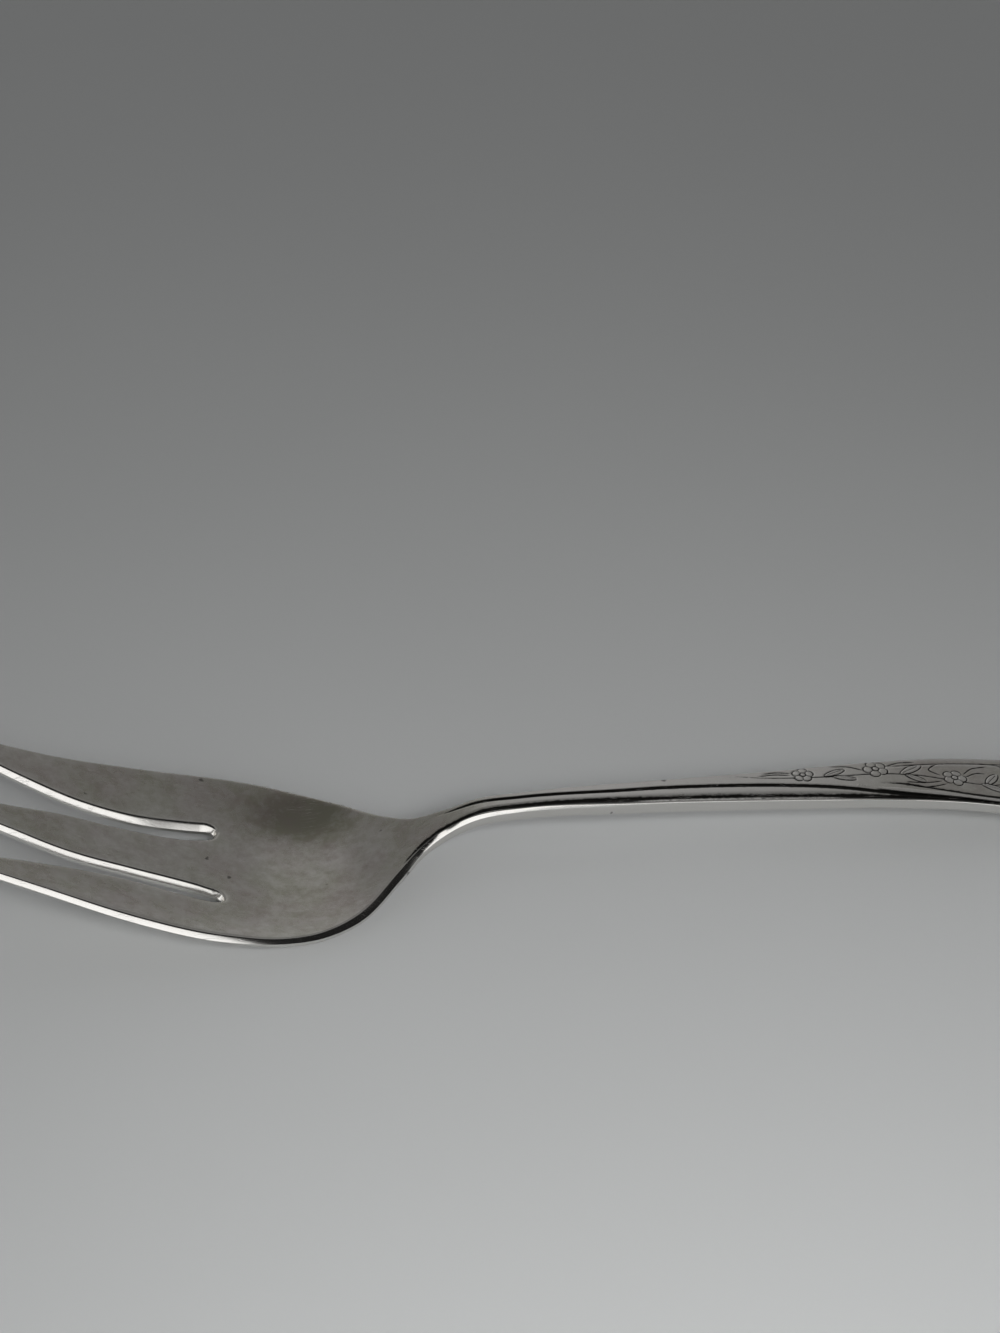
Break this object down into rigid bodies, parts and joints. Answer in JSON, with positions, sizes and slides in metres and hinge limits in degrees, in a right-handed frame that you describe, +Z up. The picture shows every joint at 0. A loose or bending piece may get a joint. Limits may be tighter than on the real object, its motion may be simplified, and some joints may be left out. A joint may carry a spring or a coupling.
{
  "type": "cold meat fork",
  "caption": "Serving fork for sliced cold meat: wide pointed tines, a shallow dished bowl and a slender fluted handle that widens to a flowered end.",
  "frame": {"origin": "on the table under the middle of the fork's length, where it lies on its heel and handle end", "axes": "+X along the length from the tine tips to the handle end, +Y across the bowl, +Z up from the table"},
  "size_m": [0.216, 0.0408, 0.026],
  "materials": {
    "tarnished_plate": "satin",
    "worn_silver": "satin"
  },
  "bodies": {
    "root": {"fork_blank": "tarnished_plate", "heel_wear_block": "worn_silver", "handle_wear_block": "worn_silver"}
  },
  "joints": []
}
